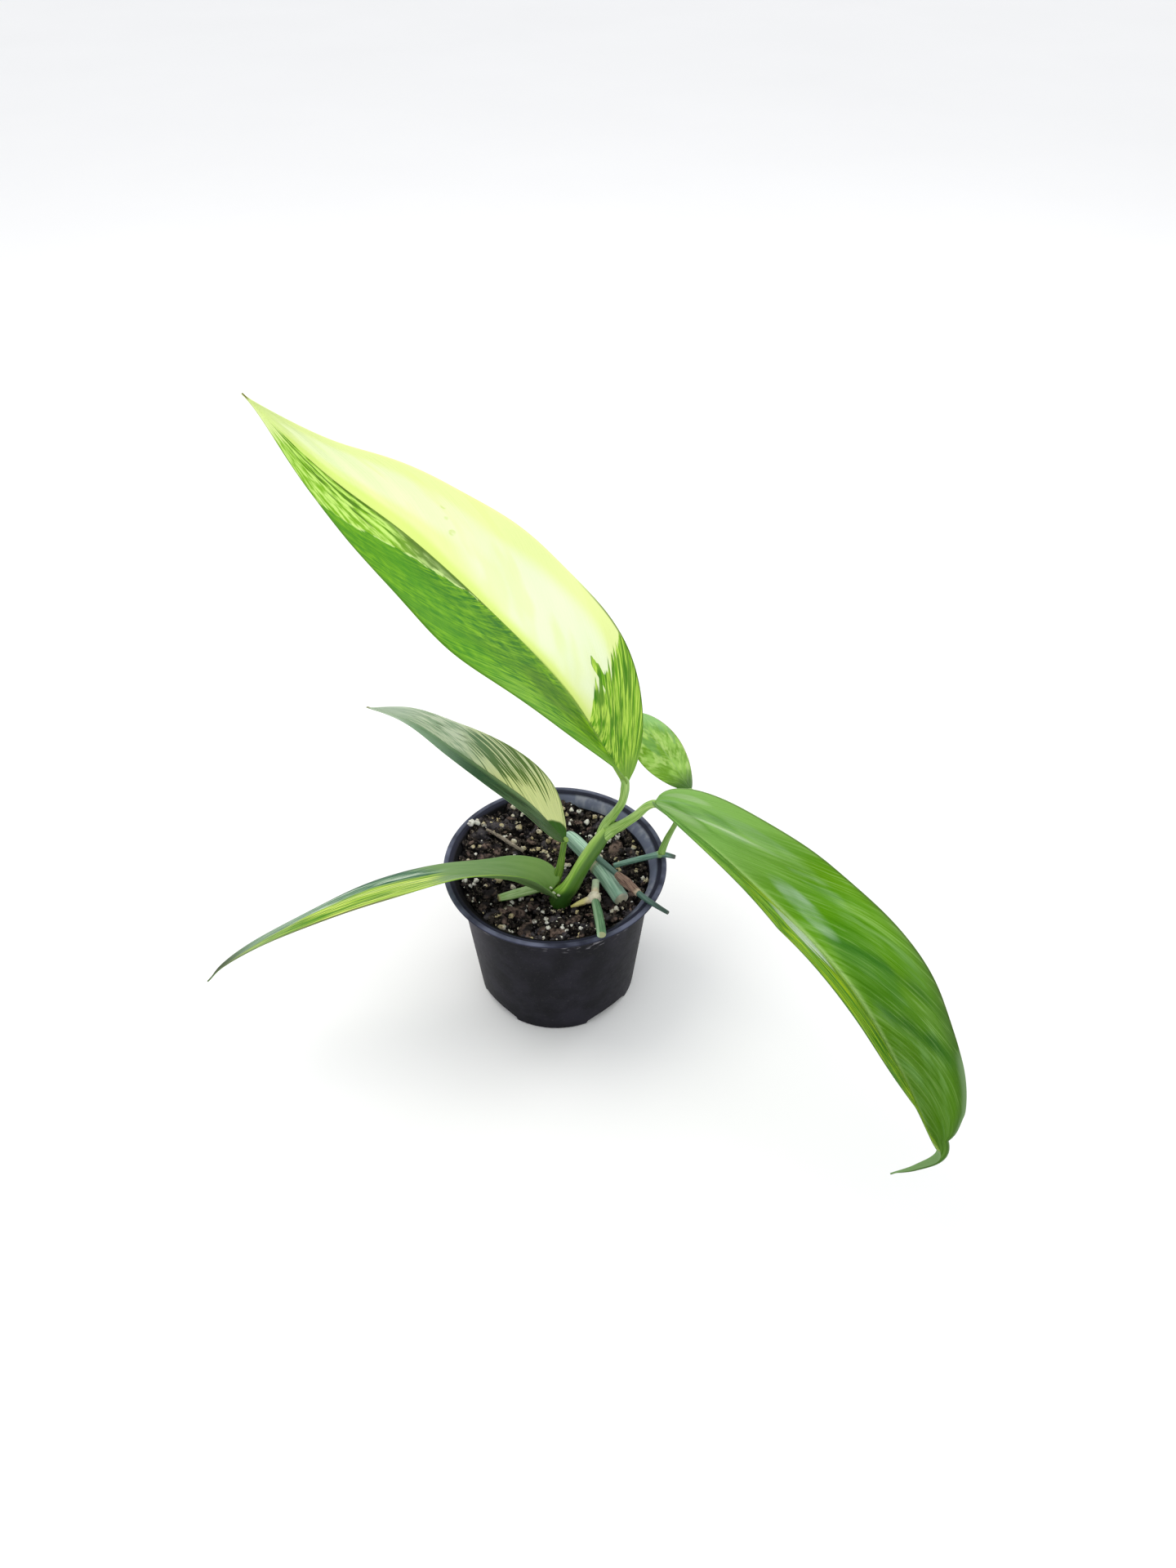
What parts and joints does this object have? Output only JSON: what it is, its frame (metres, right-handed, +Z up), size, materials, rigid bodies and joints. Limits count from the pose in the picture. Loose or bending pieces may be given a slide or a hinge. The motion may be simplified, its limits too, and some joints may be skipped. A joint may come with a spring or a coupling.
{
  "type": "potted variegated climbing aroid",
  "caption": "Small black nursery pot of soil with a young variegated climber: long narrow leaves in cream and green on sheathed petioles, and short cuttings lying on the soil.",
  "frame": {"origin": "centre of the pot's underside, on the surface that the pot stands on", "axes": "+Z up along the pot's axis; +X is the direction in which the plant reaches furthest, with the largest leaf towards -X and the hanging leaf towards +X; -Y is the side that faced the camera"},
  "size_m": [0.3241, 0.2225, 0.2707],
  "materials": {
    "pot_plastic": "thin moulded black plastic, semi-matte, scuffed and dusty",
    "potting_soil": "dark peat and bark mix with white perlite grains, matte",
    "fresh_stem": "smooth living green stem, soft satin",
    "old_stem": "older blue-green stem, waxy matte",
    "dry_sheath": "dry papery brown sheath",
    "pale_root": "pale tan root callus, matte",
    "leaf_cream_green": "waxy leaf, one half cream and one half green, soft satin",
    "leaf_mid_green": "waxy mid-green leaf with fine lime streaks, soft gloss",
    "leaf_cream_striped": "waxy leaf in cream and grey-green stripes",
    "leaf_grey_lime": "waxy grey-green leaf with lime streaks",
    "leaf_mottled": "waxy green leaf with yellow-green mottling"
  },
  "bodies": {
    "root": {"pot": "pot_plastic", "soil": "potting_soil", "shoot": "fresh_stem", "petiole_a": "fresh_stem", "petiole_b": "fresh_stem", "petiole_c": "fresh_stem", "petiole_e": "fresh_stem", "left_stub": "fresh_stem", "old_cutting": "old_stem", "runner": "old_stem", "side_runner": "old_stem", "front_cutting": "old_stem", "runner_sheath": "dry_sheath", "root_knob": "pale_root", "leaf_a": "leaf_cream_green", "leaf_b": "leaf_mid_green", "leaf_c": "leaf_cream_striped", "leaf_d": "leaf_grey_lime", "leaf_e": "leaf_mottled"}
  },
  "joints": []
}
